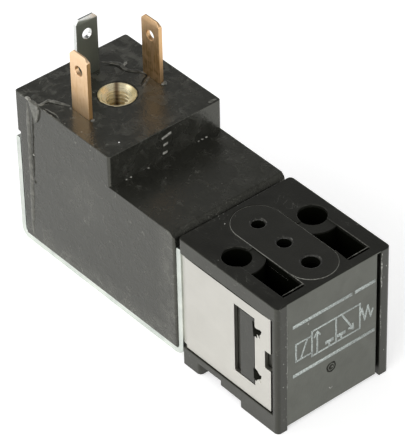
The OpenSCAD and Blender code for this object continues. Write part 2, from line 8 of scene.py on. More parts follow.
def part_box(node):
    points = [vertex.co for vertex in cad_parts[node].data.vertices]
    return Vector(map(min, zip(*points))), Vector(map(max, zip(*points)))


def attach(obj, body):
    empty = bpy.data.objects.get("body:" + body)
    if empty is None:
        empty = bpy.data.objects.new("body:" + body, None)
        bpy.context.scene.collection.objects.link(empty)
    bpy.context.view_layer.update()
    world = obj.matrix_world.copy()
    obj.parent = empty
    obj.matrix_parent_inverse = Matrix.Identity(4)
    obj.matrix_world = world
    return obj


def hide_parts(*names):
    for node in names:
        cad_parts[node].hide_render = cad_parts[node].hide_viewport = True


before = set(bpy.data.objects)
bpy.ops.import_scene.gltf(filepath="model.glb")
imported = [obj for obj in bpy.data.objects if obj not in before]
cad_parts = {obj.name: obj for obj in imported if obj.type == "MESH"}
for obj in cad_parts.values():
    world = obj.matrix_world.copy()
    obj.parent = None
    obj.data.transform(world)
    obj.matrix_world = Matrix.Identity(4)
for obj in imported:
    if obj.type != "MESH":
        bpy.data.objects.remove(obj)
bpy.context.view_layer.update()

mm = 0.001

# Bobbin: the spool inside the coil, moulded in pale nylon. The winding lies between its two
# flanges and the guide tube passes through its barrel. It is hidden once the coil is moulded.


def paint(r, g, b):
    """A colour card's red, green and blue, from 0 to 255, as linear light."""
    parts = [c / 255 for c in (r, g, b)]
    return [c / 12.92 if c <= 0.04045 else ((c + 0.055) / 1.055) ** 2.4 for c in parts] + [1.0]


def feed(tree, node, inputs):
    """Sets each named input of a node to a value, or links it from a socket."""
    for key, value in inputs.items():
        if isinstance(value, bpy.types.NodeSocket):
            tree.links.new(value, node.inputs[key])
        else:
            node.inputs[key].default_value = value
    return node


def add(tree, kind, inputs, **settings):
    """A new node with its settings and inputs."""
    node = tree.nodes.new(kind)
    for key, value in settings.items():
        setattr(node, key, value)
    return feed(tree, node, inputs)


def calculate(tree, operation, first, second=0.0):
    """The result of one sum on masks, places or lengths."""
    return add(tree, "ShaderNodeMath", {0: first, 1: second}, operation=operation).outputs[0]


def object_place(tree):
    """The place on the part, as one vector and as its three outputs X, Y and Z."""
    place = add(tree, "ShaderNodeTexCoord", {}).outputs["Object"]
    return place, add(tree, "ShaderNodeSeparateXYZ", {"Vector": place}).outputs


def new_finish(name, colour, metallic, roughness):
    """A material, its node tree and its Principled shader."""
    made = bpy.data.materials.new(name)
    made.use_nodes = True
    shader = made.node_tree.nodes["Principled BSDF"]
    feed(made.node_tree, shader, {
        "Base Color": paint(*colour), "Metallic": metallic, "Roughness": roughness})
    return made, made.node_tree, shader


def new_effect(name, inputs, outputs):
    """A node group with named numbers going in and named masks or heights coming out."""
    tree = bpy.data.node_groups.new(name, "ShaderNodeTree")
    for label, value in inputs.items():
        socket = tree.interface.new_socket(label, in_out="INPUT", socket_type="NodeSocketFloat")
        socket.default_value = value
    for label in outputs:
        tree.interface.new_socket(label, in_out="OUTPUT", socket_type="NodeSocketFloat")
    return tree, tree.nodes.new("NodeGroupInput").outputs, tree.nodes.new("NodeGroupOutput")


def use_effect(tree, effect, **inputs):
    """The outputs of a node group placed in a material with that material's own values."""
    node = tree.nodes.new("ShaderNodeGroup")
    node.node_tree = effect
    return feed(tree, node, {key.replace("_", " "): value for key, value in inputs.items()}).outputs


def blend_colours(tree, share, first, second):
    """A colour that goes from the first to the second as the share goes from 0 to 1."""
    first, second = [paint(*colour) if isinstance(colour, tuple) else colour for colour in (first, second)]
    return add(tree, "ShaderNodeMix", {0: share, 6: first, 7: second}, data_type="RGBA").outputs[2]


def between(tree, value, low, high, from_low=0.0, from_high=1.0):
    """A mask spread over another range of numbers, and held inside it."""
    return add(tree, "ShaderNodeMapRange", {
        "Value": value, "From Min": from_low, "From Max": from_high,
        "To Min": low, "To Max": high}).outputs[0]


def roughen(tree, shader, height, depth):
    """Turns a height from 0 to 1 into a surface relief of the given depth."""
    bump = add(tree, "ShaderNodeBump", {"Height": height, "Distance": depth, "Strength": 1.0})
    tree.links.new(bump.outputs["Normal"], shader.inputs["Normal"])


def grain_effect():
    """Moulded plastic's fine grain, its slow flow clouds and its rare pale flecks, all from 0 to 1."""
    tree, given, out = new_effect(
        "moulded_grain", {"Grain": 0.2, "Cloud": 2.0}, ["Fine", "Cloud", "Fleck", "Scratch"])
    place = add(tree, "ShaderNodeTexCoord", {}).outputs["Object"]
    fine_scale = calculate(tree, "DIVIDE", 1 / mm, given["Grain"])
    cloud_scale = calculate(tree, "DIVIDE", 1 / mm, given["Cloud"])
    fine = add(tree, "ShaderNodeTexNoise", {"Vector": place, "Scale": fine_scale, "Detail": 3.0})
    cloud = add(tree, "ShaderNodeTexNoise", {
        "Vector": place, "Scale": cloud_scale, "Detail": 4.0, "Distortion": 0.8})
    dots = add(tree, "ShaderNodeTexVoronoi", {"Vector": place, "Scale": 0.9 / mm})
    near = between(tree, dots.outputs["Distance"], 1.0, 0.0, 0.04, 0.10)
    pick = add(tree, "ShaderNodeSeparateColor", {"Color": dots.outputs["Color"]}).outputs[0]
    rare = between(tree, pick, 0.0, 1.0, 0.86, 0.90)
    fleck = calculate(tree, "MULTIPLY", near, rare)
    bent = add(tree, "ShaderNodeTexNoise", {
        "Vector": place, "Scale": 0.35 / mm, "Detail": 2.0, "Distortion": 2.0})
    hair = calculate(tree, "SUBTRACT", bent.outputs[0], 0.5)
    hair = calculate(tree, "ABSOLUTE", hair)
    hair = between(tree, hair, 1.0, 0.0, 0.0, 0.006)
    broken = between(tree, cloud.outputs[0], 0.0, 1.0, 0.52, 0.62)
    scratch = calculate(tree, "MULTIPLY", hair, broken)
    feed(tree, out, {
        "Fine": between(tree, fine.outputs[0], 0.0, 1.0, 0.3, 0.7),
        "Cloud": between(tree, cloud.outputs[0], 0.0, 1.0, 0.3, 0.7),
        "Fleck": fleck,
        "Scratch": scratch})
    return tree


def dress(material, *names):
    """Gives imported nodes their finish."""
    for name in names:
        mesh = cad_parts[name].data
        mesh.materials.clear()
        mesh.materials.append(material)


moulded_grain = grain_effect()


def nylon_finish():
    """Pale natural nylon with slow clouds under a satin skin."""
    made, tree, shader = new_finish("bobbin_nylon", (214, 208, 190), 0.0, 0.45)
    grain = use_effect(tree, moulded_grain, Grain=0.3, Cloud=2.5)
    feed(tree, shader, {
        "Base Color": blend_colours(tree, grain["Cloud"], (204, 197, 176), (224, 219, 203)),
        "Roughness": between(tree, grain["Fine"], 0.38, 0.52)})
    roughen(tree, shader, grain["Fine"], 0.004 * mm)
    return made


dress(nylon_finish(), "bobbin")

# Winding: fine enamelled copper wire in even layers, so its outside shows close rings. It is
# wound between the bobbin's flanges before the coil is moulded.


def winding_finish():
    """Enamelled wire: rings one wire apart along the coil, glossy and red brown, with painted shade in the
    grooves between turns.
    """
    wire = 0.11 * mm
    made, tree, shader = new_finish("enamelled_wire", (168, 88, 48), 0.9, 0.25)
    turns = calculate(tree, "MULTIPLY", object_place(tree)[1]["X"], 2 * math.pi / wire)
    ring = calculate(tree, "SINE", turns)
    height = between(tree, ring, 0.0, 1.0, -1.0, 1.0)
    # Painted shade: the colour goes darker down into each groove between turns.
    feed(tree, shader, {
        "Base Color": blend_colours(tree, height, (110, 50, 24), (186, 102, 58)),
        "Roughness": between(tree, height, 0.4, 0.22)})
    roughen(tree, shader, height, 0.03 * mm)
    return made


dress(winding_finish(), "winding")

# Terminals: three flat blades stamped from strip. The two power blades are bare copper alloy and
# the earth blade, turned a quarter round, is tinned. Their roots are moulded into the coil.


def strip_effect():
    """Rolled strip: fine streaks drawn out along its stretched axes, and slow blotches, from 0 to 1."""
    tree, given, out = new_effect("rolled_strip", {
        "Stretch X": 1.0, "Stretch Y": 1.0, "Stretch Z": 1.0, "Width": 0.1, "Blotch": 1.5},
        ["Streak", "Blotch"])
    place = add(tree, "ShaderNodeTexCoord", {}).outputs["Object"]
    stretch = add(tree, "ShaderNodeCombineXYZ", {
        "X": given["Stretch X"], "Y": given["Stretch Y"], "Z": given["Stretch Z"]}).outputs[0]
    drawn = add(tree, "ShaderNodeVectorMath", {0: place, 1: stretch}, operation="DIVIDE").outputs[0]
    line_scale = calculate(tree, "DIVIDE", 1 / mm, given["Width"])
    blotch_scale = calculate(tree, "DIVIDE", 1 / mm, given["Blotch"])
    streak = add(tree, "ShaderNodeTexNoise", {"Vector": drawn, "Scale": line_scale, "Detail": 2.0})
    blotch = add(tree, "ShaderNodeTexNoise", {
        "Vector": place, "Scale": blotch_scale, "Detail": 3.0, "Distortion": 0.5})
    feed(tree, out, {
        "Streak": between(tree, streak.outputs[0], 0.0, 1.0, 0.3, 0.7),
        "Blotch": between(tree, blotch.outputs[0], 0.0, 1.0, 0.3, 0.7)})
    return tree


rolled_strip = strip_effect()


def blade_finish(name, clean, tarnished, forward_shade, rough, forward_rough):
    """Stamped strip, tarnished in patches below its tip, with painted shade on the faces that point
    forward.
    """
    made, tree, shader = new_finish(name, clean, 1.0, rough)
    strip = use_effect(tree, rolled_strip, Stretch_Z=10.0, Width=0.2, Blotch=0.7)
    patchy = calculate(tree, "MULTIPLY", strip["Blotch"], strip["Streak"])
    height = object_place(tree)[1]["Z"]
    handled = between(tree, height, 1.0, 0.25, 23.5 * mm, 26.8 * mm)
    patchy = calculate(tree, "MULTIPLY", between(tree, patchy, 0.4, 1.0, 0.05, 0.45), handled)
    normal = add(tree, "ShaderNodeNewGeometry", {}).outputs["Normal"]
    facing = add(tree, "ShaderNodeSeparateXYZ", {"Vector": normal}).outputs["X"]
    # Painted shade: faces that point forward (+X) take a darker colour of the same metal.
    forward_shade_mask = between(tree, facing, 0.0, 1.0, 0.965, 0.985)
    skin = blend_colours(tree, patchy, clean, tarnished)
    streaky = between(tree, strip["Streak"], rough - 0.04, rough + 0.06)
    dulled = between(tree, forward_shade_mask, 0.0, forward_rough)
    feed(tree, shader, {
        "Base Color": blend_colours(tree, forward_shade_mask, skin, forward_shade),
        "Roughness": calculate(tree, "ADD", streaky, dulled)})
    roughen(tree, shader, strip["Streak"], 0.0008 * mm)
    return made


weld_gap = 0.001 * mm
flat_angle = math.radians(1)
edge_angle = math.radians(35)


def soften_edges(name, radius, edge_finish=None):
    """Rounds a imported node's edges a little, as tumbling or a mould's own corners leave them."""
    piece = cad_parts[name]
    if edge_finish:
        piece.data.materials.append(edge_finish)
    join = piece.modifiers.new("join", "WELD")
    join.merge_threshold = weld_gap
    flats = piece.modifiers.new("flats", "DECIMATE")
    flats.decimate_type = "DISSOLVE"
    flats.angle_limit = flat_angle
    edges = piece.modifiers.new("edges", "BEVEL")
    edges.width = radius
    edges.segments = 3
    edges.material = 1 if edge_finish else -1
    edges.limit_method = "ANGLE"
    edges.angle_limit = edge_angle
    edges.use_clamp_overlap = False
    piece.modifiers.new("shading", "WEIGHTED_NORMAL").keep_sharp = True
    for face in piece.data.polygons:
        face.use_smooth = True


# The fifth column is the darker colour painted as shade on each blade's forward faces.
for name, finish_name, clean, tarnished, forward_shade, rough, forward_rough in [
        ("power_a", "blade_copper", (242, 211, 175), (226, 190, 146), (184, 146, 98), 0.42, 0.1),
        ("power_b", "blade_copper_dull", (236, 198, 154), (168, 134, 88), (226, 186, 138), 0.4, 0.0),
        ("earth", "blade_tin", (222, 224, 222), (196, 198, 194), (118, 123, 114), 0.17, 0.28)]:
    dress(blade_finish(finish_name, clean, tarnished, forward_shade, rough, forward_rough), f"terminal_{name}")
    soften_edges(f"terminal_{name}", 0.05 * mm)

# Threaded insert: turned brass bush for the plug's screw, moulded in flush with the plug face.
# Its mouth is flared, and an M3 thread runs down to the blind bottom.


def insert_finish():
    """Brass that the tap has cut, with a painted reflection, one dark streak down the far side of its bore,
    and painted shade on its sides.
    """
    made, tree, shader = new_finish("insert_brass", (226, 206, 158), 0.5, 0.3)
    strip = use_effect(tree, rolled_strip, Stretch_X=10.0, Stretch_Y=10.0, Width=0.15, Blotch=0.9)
    place = add(tree, "ShaderNodeTexCoord", {}).outputs["Object"]
    low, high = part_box("threaded_insert")
    sideways = (0.64, 0.77, 0.0)
    away = (-0.77, 0.64, 0.0)
    offset = add(tree, "ShaderNodeVectorMath", {
        0: place, 1: (low + high) / 2}, operation="SUBTRACT").outputs[0]
    across, inward = [
        add(tree, "ShaderNodeVectorMath", {0: offset, 1: along}, operation="DOT_PRODUCT").outputs["Value"]
        for along in (sideways, away)]
    # Painted reflection and shade: a dark streak down the far wall of the bore, and darker walls to either
    # side of it across the view.
    off_reflection_streak = calculate(tree, "ADD", across, 0.12 * mm)
    off_reflection_streak = calculate(tree, "ABSOLUTE", off_reflection_streak)
    streak = between(tree, off_reflection_streak, 1.0, 0.0, 0.08 * mm, 0.4 * mm)
    shaded_sides = between(tree, off_reflection_streak, 0.0, 0.7, 1.2 * mm, 1.7 * mm)
    far_side = between(tree, inward, 0.0, 0.85, 0.2 * mm, 0.6 * mm)
    painted_reflection_streak = calculate(tree, "MULTIPLY", streak, far_side)
    bright = blend_colours(tree, strip["Blotch"], (252, 242, 206), (244, 228, 186))
    bright = blend_colours(tree, shaded_sides, bright, (206, 186, 130))
    feed(tree, shader, {
        "Base Color": blend_colours(tree, painted_reflection_streak, bright, (88, 58, 30)),
        "Roughness": between(tree, strip["Streak"], 0.24, 0.34)})
    roughen(tree, shader, strip["Streak"], 0.0004 * mm)
    return made


def close_rings(mesh, rings):
    """Joins closed rings of points, one after the other, and caps the first and the last."""
    rows = [[mesh.verts.new(point) for point in ring] for ring in rings]
    count = len(rows[0])
    for lower, upper in zip(rows, rows[1:]):
        for i in range(count):
            j = (i + 1) % count
            mesh.faces.new((lower[i], lower[j], upper[j], upper[i]))
    mesh.faces.new(list(reversed(rows[0])))
    mesh.faces.new(rows[-1])


def new_piece(name, mesh, materials, body):
    """Turns a built mesh into a piece, smooth between its sharp edges, that rides on its body."""
    sharp = math.radians(32)
    bmesh.ops.recalc_face_normals(mesh, faces=mesh.faces)
    for edge in mesh.edges:
        edge.smooth = edge.calc_face_angle(0) < sharp
    data = bpy.data.meshes.new(name)
    mesh.to_mesh(data)
    mesh.free()
    if "custom_normal" in data.attributes:
        data.attributes.remove(data.attributes["custom_normal"])
    data.materials.clear()
    for material in materials:
        data.materials.append(material)
    for face in data.polygons:
        face.use_smooth = True
    piece = bpy.data.objects.new(name, data)
    bpy.context.scene.collection.objects.link(piece)
    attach(piece, body)
    return piece


def build_insert():
    """The bush as rings from its outside round the rim and down the threaded bore."""
    low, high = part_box("threaded_insert")
    middle = (low + high) / 2
    rim_r = (high.x - low.x) / 2
    around = 96
    flare_r = rim_r - 0.2 * mm
    flare_depth = 0.48 * mm
    pitch = 0.5 * mm
    crest_r = 1.24 * mm
    thread_depth = 0.21 * mm
    floor_z = low.z + 0.6 * mm
    thread_top = high.z - flare_depth
    edge = 0.05 * mm

    def ring(z, radius_at):
        points = []
        for i in range(around):
            angle = 2 * math.pi * i / around
            radius = radius_at(angle)
            points.append((middle.x + radius * math.cos(angle), middle.y + radius * math.sin(angle), z))
        return points

    def plain(radius):
        return lambda angle: radius

    def thread(z):
        fade = min(1.0, (z - floor_z) / pitch)

        def radius_at(angle):
            phase = (z / pitch - angle / (2 * math.pi)) % 1
            groove = min(1.0, max(0.0, 2.2 * (1 - abs(2 * phase - 1)) - 1.0))
            return crest_r + fade * thread_depth * groove
        return radius_at

    rings = [ring(low.z, plain(rim_r - edge)), ring(low.z + edge, plain(rim_r))]
    rings += [ring(high.z - edge, plain(rim_r)), ring(high.z, plain(rim_r - edge))]
    rings += [ring(high.z, plain(flare_r + edge)), ring(high.z - edge, plain(flare_r - 0.3 * edge))]
    rings.append(ring(thread_top + 0.05 * mm, plain(crest_r + thread_depth)))
    steps = round((thread_top - floor_z) / pitch * 16)
    for k in range(steps + 1):
        z = thread_top - (thread_top - floor_z) * k / steps
        rings.append(ring(z, thread(z)))
    mesh = bmesh.new()
    close_rings(mesh, rings)
    piece = new_piece("insert_threaded", mesh, [insert_finish()], "valve")
    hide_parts("threaded_insert")


build_insert()

# Coil housing: glass-filled black nylon moulded round the bobbin, the blades and the insert. Its
# skin is satin with flow clouds, and its edges are rubbed a little paler.


def plastic_finish(name, colour, roughness):
    """A moulded finish whose shine has a little less blue, as on dark plastic and rubber."""
    made, tree, shader = new_finish(name, colour, 0.0, roughness)
    shader.inputs["Specular Tint"].default_value = paint(255, 255, 240)
    return made, tree, shader


def housing_finish():
    """Black filled nylon: satin, clouded by the flow, scuffed near its front end, foot and rear top."""
    made, tree, shader = plastic_finish("coil_nylon", (48, 48, 45), 0.4)
    shader.inputs["IOR"].default_value = 1.65
    grain = use_effect(tree, moulded_grain, Grain=0.25, Cloud=1.5)
    place, where = object_place(tree)
    side = between(tree, where["Y"], 1.0, 0.0, -7.44 * mm, -7.38 * mm)
    front = between(tree, where["X"], 0.0, 1.0, 2.2 * mm, 4.2 * mm)
    bottom = between(tree, where["Z"], 1.0, 0.0, 2.0 * mm, 4.0 * mm)
    ends = calculate(tree, "MAXIMUM", front, bottom)
    scuffs = calculate(tree, "MULTIPLY", ends, grain["Cloud"])
    smear_place = Vector((-9.0, -7.45, 12.0)) * mm
    from_smear = add(tree, "ShaderNodeVectorMath", {
        0: place, 1: smear_place}, operation="DISTANCE").outputs["Value"]
    smear = between(tree, from_smear, 0.6, 0.0, 0.5 * mm, 4.5 * mm)
    smear = calculate(tree, "MULTIPLY", smear, grain["Cloud"])
    scuffs = calculate(tree, "MAXIMUM", scuffs, smear)
    scuffs = calculate(tree, "MULTIPLY", scuffs, side)
    top = between(tree, where["Z"], 0.0, 1.0, 20.02 * mm, 20.08 * mm)
    rear = between(tree, where["X"], 1.0, 0.3, -14.0 * mm, -9.0 * mm)
    smudge = between(tree, grain["Cloud"], 0.0, 0.75, 0.5, 1.0)
    smudge = calculate(tree, "MULTIPLY", smudge, rear)
    smudge = calculate(tree, "MULTIPLY", smudge, top)
    scuffs = calculate(tree, "MAXIMUM", scuffs, smudge)
    speckled = blend_colours(tree, grain["Fine"], (22, 22, 19), (45, 45, 41))
    clouded = blend_colours(tree, grain["Cloud"], speckled, (41, 41, 37))
    rubbed = blend_colours(tree, scuffs, clouded, (80, 80, 74))
    marked = calculate(tree, "MAXIMUM", grain["Fleck"], grain["Scratch"])
    feed(tree, shader, {
        "Base Color": blend_colours(tree, marked, rubbed, (118, 117, 111)),
        "Specular IOR Level": between(tree, side, 0.49, 0.38),
        "Roughness": between(tree, grain["Cloud"], 0.18, 0.32)})
    both = calculate(tree, "ADD", grain["Fine"], grain["Cloud"])
    roughen(tree, shader, both, 0.01 * mm)
    return made


def pale_and_highlight_finish(name, plain, rubbed, patch=0.6):
    """Plastic paler in patches: rubbed edges and dust, and painted highlights where the flash, ridges and
    torn bits catch the light.
    """
    made, tree, shader = plastic_finish(name, plain, 0.45)
    grain = use_effect(tree, moulded_grain, Grain=0.15, Cloud=patch)
    worn = between(tree, grain["Cloud"], 0.0, 1.0, 0.25, 0.9)
    feed(tree, shader, {
        "Base Color": blend_colours(tree, worn, plain, rubbed),
        "Roughness": between(tree, grain["Fine"], 0.36, 0.52)})
    roughen(tree, shader, grain["Fine"], 0.006 * mm)
    return made


def moulded_copy(name, piece_name, radius, materials, body, keep=lambda edge: True):
    """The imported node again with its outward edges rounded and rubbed, standing for that node."""
    mesh = bmesh.new()
    mesh.from_mesh(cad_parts[name].data)
    bmesh.ops.remove_doubles(mesh, verts=mesh.verts, dist=weld_gap)
    bmesh.ops.dissolve_limit(mesh, angle_limit=flat_angle, verts=mesh.verts, edges=mesh.edges)
    standing = [e for e in mesh.edges if e.is_convex and e.calc_face_angle(0) > edge_angle]
    bmesh.ops.bevel(
        mesh, geom=[edge for edge in standing if keep(edge)], offset=radius, segments=3, profile=0.5,
        affect="EDGES", clamp_overlap=False, material=1)
    low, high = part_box(name)
    for vert in mesh.verts:
        vert.co = Vector([min(max(vert.co[i], low[i]), high[i]) for i in range(3)])
    piece = new_piece(piece_name, mesh, materials, body)
    piece.modifiers.new("shading", "WEIGHTED_NORMAL").keep_sharp = True
    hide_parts(name)


def shadow_finish(name, colour, lighter):
    """Painted shade: a dark skin, giving back hardly any light, for the inside of a crack, a gap or a hole.
    """
    made, tree, shader = new_finish(name, colour, 0.0, 0.9)
    shader.inputs["Specular IOR Level"].default_value = 0.05
    grain = use_effect(tree, moulded_grain, Grain=0.1, Cloud=0.4)
    feed(tree, shader, {
        "Base Color": blend_colours(tree, grain["Cloud"], colour, lighter),
        "Roughness": between(tree, grain["Fine"], 0.8, 1.0)})
    return made


coil_nylon = housing_finish()
coil_rubbed = pale_and_highlight_finish("coil_nylon_rubbed", (40, 40, 37), (112, 112, 106))
coil_low, coil_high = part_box("coil_housing")
moulded_copy("coil_housing", "coil_moulding", 0.08 * mm, [coil_nylon, coil_rubbed], "valve")

# Mould flash on the coil: raised lines where the melt fronts met on the plug face, crumbs at the
# blades' roots, and a torn ridge with a crevice down the near side by the rear. The flash is painted
# paler as highlights, and dark beads along its folds and cracks are painted shade.

plug_z = coil_high.z
near_y = coil_low.y
plug_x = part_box("terminal_earth")[0].x - 2.6 * mm
up = Vector((0, 0, 1))
near = Vector((0, -1, 0))


def on_plug_face(*places):
    """Points on the plug face, in millimetres from its rear edge and from the middle."""
    return [Vector((plug_x + x * mm, y * mm, plug_z)) for x, y in places]


def on_near_side(*places):
    """Points on the coil's near side, in millimetres from its upper rear edge and from the floor."""
    return [Vector((plug_x + x * mm, near_y, z * mm)) for x, z in places]


def through(points, steps=8):
    """Points along a smooth curve through the given ones."""
    ends = [points[0] * 2 - points[1]] + points + [points[-1] * 2 - points[-2]]
    route = []
    for a, b, c, d in zip(ends, ends[1:], ends[2:], ends[3:]):
        for k in range(steps):
            t = k / steps
            route.append(0.5 * (2 * b + (c - a) * t + (2 * a - 5 * b + 4 * c - d) * t * t
                                + (3 * b - a - 3 * c + d) * t ** 3))
    return route + [points[-1]]


def flash_line(name, points, outward, half_width, height, finish, rag=0.5):
    """A ragged bead along a curve on a face, thinning out at both ends. Its sizes are millimetres."""
    half_width, height = half_width * mm, height * mm
    route = through(points)
    last = len(route) - 1
    rings = []
    for i, point in enumerate(route):
        ahead = (route[min(i + 1, last)] - route[max(i - 1, 0)]).normalized()
        across = outward.cross(ahead).normalized()
        taper = min(1.0, 0.25 + 4 * min(i, last - i) / last)
        torn = 1 + rag * noise.noise(point * (2.2 / mm))
        sway = across * half_width * rag * noise.noise(point * (1.3 / mm) + up * 7)
        wide, tall = half_width * taper * torn, height * taper * torn
        angles = [2 * math.pi * k / 12 for k in range(12)]
        rings.append([
            point + sway + across * wide * math.cos(a) + outward * tall * math.sin(a) for a in angles])
    mesh = bmesh.new()
    close_rings(mesh, rings)
    new_piece(name, mesh, [finish], "valve")


def crumb(name, centre, size, seed, finish):
    """A torn lump of plastic, like the bits that stay where a gate or a blade's seal breaks off."""
    mesh = bmesh.new()
    bmesh.ops.create_icosphere(mesh, subdivisions=3, radius=1.0)
    for vert in mesh.verts:
        lump = 1 + 0.45 * noise.noise(vert.co * 1.7 + Vector((seed, 0, 0)))
        vert.co = centre + Vector([vert.co[i] * size[i] * mm * lump for i in range(3)])
    new_piece(name, mesh, [finish], "valve")


coil_flash_wear_and_highlight = pale_and_highlight_finish("coil_flash_wear_and_highlight", (72, 72, 67), (124, 123, 117), 0.4)
coil_fold = pale_and_highlight_finish("coil_fold", (50, 50, 46), (104, 103, 97), 0.4)
coil_torn_highlight = pale_and_highlight_finish("coil_torn_highlight", (120, 119, 113), (176, 175, 168), 0.3)
# Painted shade: these dark finishes colour thin beads and flakes laid where folds, cracks, pits and gaps
# hold only shade.
crevice_shade = shadow_finish("coil_crevice_shade", (30, 30, 26), (48, 48, 43))
side_crevice_shade = shadow_finish("side_crevice_shade", (52, 52, 47), (82, 81, 76))
# In this table the pale finishes are painted highlights on the flash lines, and the crevice finishes are
# dark beads of painted shade along their folds.
for name, half_width, height, finish, rag, places in [
        ("flow_line_left", 0.2, 0.12, coil_flash_wear_and_highlight, 0.5, [
            (3.4, -7.36), (3.86, -7.0), (3.84, -6.5), (3.98, -5.98), (4.5, -5.66), (5.35, -5.24),
            (6.1, -4.87)]),
        ("flow_fold_left", 0.09, 0.03, crevice_shade, 0.5, [
            (4.1, -6.7), (4.2, -6.2), (4.7, -5.85), (5.6, -5.38)]),
        ("flow_line_rear", 0.19, 0.11, coil_fold, 0.5, [
            (2.2, 2.2), (3.1, 3.1), (3.9, 3.5), (4.8, 3.45), (5.5, 3.6), (6.2, 4.2), (7.1, 4.55)]),
        ("flow_line_spur", 0.16, 0.1, coil_torn_highlight, 0.5, [
            (4.0, 4.35), (4.2, 3.9), (4.25, 3.5)]),
        ("flow_line_right", 0.13, 0.07, coil_fold, 0.5, [
            (7.4, 4.7), (7.9, 3.9), (8.4, 3.1), (8.75, 2.4)]),
        ("flow_fold_rear", 0.13, 0.03, crevice_shade, 0.5, [
            (2.9, 2.2), (3.4, 2.75), (4.3, 3.1), (5.3, 3.25), (6.0, 3.75), (6.9, 4.3)]),
        ("flow_fold_right", 0.11, 0.03, crevice_shade, 0.5, [
            (6.6, 4.3), (7.25, 4.3), (7.6, 3.6), (8.1, 2.9)]),
        ("near_edge_fringe", 0.08, 0.05, coil_flash_wear_and_highlight, 0.9, [
            (4.7, -7.36), (5.4, -7.4), (6.1, -7.38), (6.8, -7.36)]),
        ("near_edge_fringe_inner", 0.06, 0.05, coil_flash_wear_and_highlight, 0.9, [
            (4.6, -7.22), (5.1, -7.05), (5.8, -6.98), (6.5, -6.96), (6.95, -7.1)]),
        ("near_edge_shadow", 0.06, 0.03, crevice_shade, 0.6, [
            (4.7, -7.26), (5.3, -7.22), (6.0, -7.2), (6.8, -7.24)]),
        ("rear_edge_lip", 0.14, 0.08, coil_flash_wear_and_highlight, 0.7, [
            (2.6, -7.36), (3.1, -7.3), (3.7, -7.34), (4.1, -7.38)])]:
    flash_line(name, on_plug_face(*places), up, half_width, height, finish, rag)
crumb("corner_scuff", on_plug_face((15.1, 6.6))[0], (0.16, 0.5, 0.02), 7, coil_flash_wear_and_highlight)
ridge_highlight = pale_and_highlight_finish("ridge_highlight", (76, 76, 71), (112, 111, 105), 0.8)
# Painted highlight: the ridge is paler where it catches the light, and the crevice beside it is painted
# shade.
flash_line("parting_ridge", on_near_side(
    (2.05, 19.6), (2.08, 17.9), (2.1, 16.0), (2.08, 13.3), (2.05, 10.0), (1.95, 7.0), (1.8, 4.0),
    (1.7, 1.9)),
    near, 0.3, 0.1, ridge_highlight, rag=0.35)
flash_line("parting_crevice", on_near_side(
    (2.86, 18.5), (2.88, 17.5), (2.84, 16.0), (2.74, 14.4), (2.68, 13.3), (2.6, 11.5), (2.6, 9.6)),
    near, 0.15, 0.025, side_crevice_shade)
crumb("ridge_crumb", on_near_side((2.68, 13.1))[0], (0.14, 0.07, 0.12), 1, coil_torn_highlight)
crumb("ridge_pit", on_near_side((2.7, 9.5))[0], (0.16, 0.03, 0.22), 2, side_crevice_shade)
crumb("corner_crumb", Vector((plug_x + 2.15 * mm, near_y + 0.12 * mm, plug_z - 0.05 * mm)),
      (0.5, 0.2, 0.13), 2, coil_torn_highlight)
mouth_low, mouth_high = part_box("threaded_insert")
mouth = (mouth_low + mouth_high) / 2
reach = mouth_high.x - mouth.x + 0.05 * mm
around = [math.radians(200 + 20 * k) for k in range(19)]
# Painted shade: a dark ring round the insert stands for the shade in the gap at its rim.
flash_line("insert_seam", [
    Vector((mouth.x + reach * math.cos(a), mouth.y + reach * math.sin(a), plug_z)) for a in around],
    up, 0.08, 0.02, crevice_shade, rag=0.8)
crumb("blade_crumb_near", on_plug_face((9.55, -4.7))[0], (0.24, 0.22, 0.12), 3, coil_flash_wear_and_highlight)
crumb("blade_crumb_far", on_plug_face((9.5, 4.8))[0], (0.26, 0.34, 0.16), 4, coil_flash_wear_and_highlight)
crumb("blade_crumb_back", on_plug_face((6.5, -5.1))[0], (0.2, 0.14, 0.08), 5, coil_fold)
crumb("white_speck", on_plug_face((14.19, -4.99))[0], (0.1, 0.1, 0.03), 6,
      pale_and_highlight_finish("dust_speck", (226, 226, 222), (238, 238, 236)))


def flake(name, outline, lifts, sink, finish):
    """A thin ragged flake on the near side, each corner of which stands out by its own lift."""
    mesh = bmesh.new()
    outer = [mesh.verts.new(point + near * lift * mm) for point, lift in zip(outline, lifts)]
    inner = [mesh.verts.new(point - near * sink * mm) for point in outline]
    mesh.faces.new(outer)
    mesh.faces.new(list(reversed(inner)))
    for k in range(len(outline)):
        j = (k + 1) % len(outline)
        mesh.faces.new((outer[k], outer[j], inner[j], inner[k]))
    bmesh.ops.triangulate(mesh, faces=mesh.faces)
    return new_piece(name, mesh, [finish], "valve")


# Painted highlight: the lifted flap and its rim are paler where they catch the light. The crack and fold
# beside them are painted shade.
flap_highlight = pale_and_highlight_finish("flap_highlight", (86, 86, 80), (128, 127, 120), 0.7)
torn_flap = flake("torn_flap", on_near_side(
    (2.3, 20.08), (3.9, 20.08), (4.1, 19.9), (3.92, 19.1), (3.55, 17.75), (3.05, 18.4), (2.7, 19.1)),
    [0.05, 0.1, 0.16, 0.19, 0.19, 0.1, 0.06], 0.05, flap_highlight)
flap_edges = torn_flap.modifiers.new("edges", "BEVEL")
flap_edges.width = 0.03 * mm
flap_edges.segments = 2
flash_line("flap_crack", on_near_side(
    (4.28, 20.05), (4.32, 19.55), (4.1, 18.75), (3.9, 18.1)), near, 0.1, 0.03, side_crevice_shade, rag=0.9)
flash_line("flap_rim", on_near_side(
    (4.05, 19.95), (3.98, 19.2), (3.75, 18.5), (3.58, 17.8)), near, 0.06, 0.2, coil_torn_highlight, rag=0.4)
flash_line("flap_fold", on_near_side((2.6, 19.0), (2.95, 18.4), (3.4, 17.6)), near, 0.1, 0.03, side_crevice_shade)

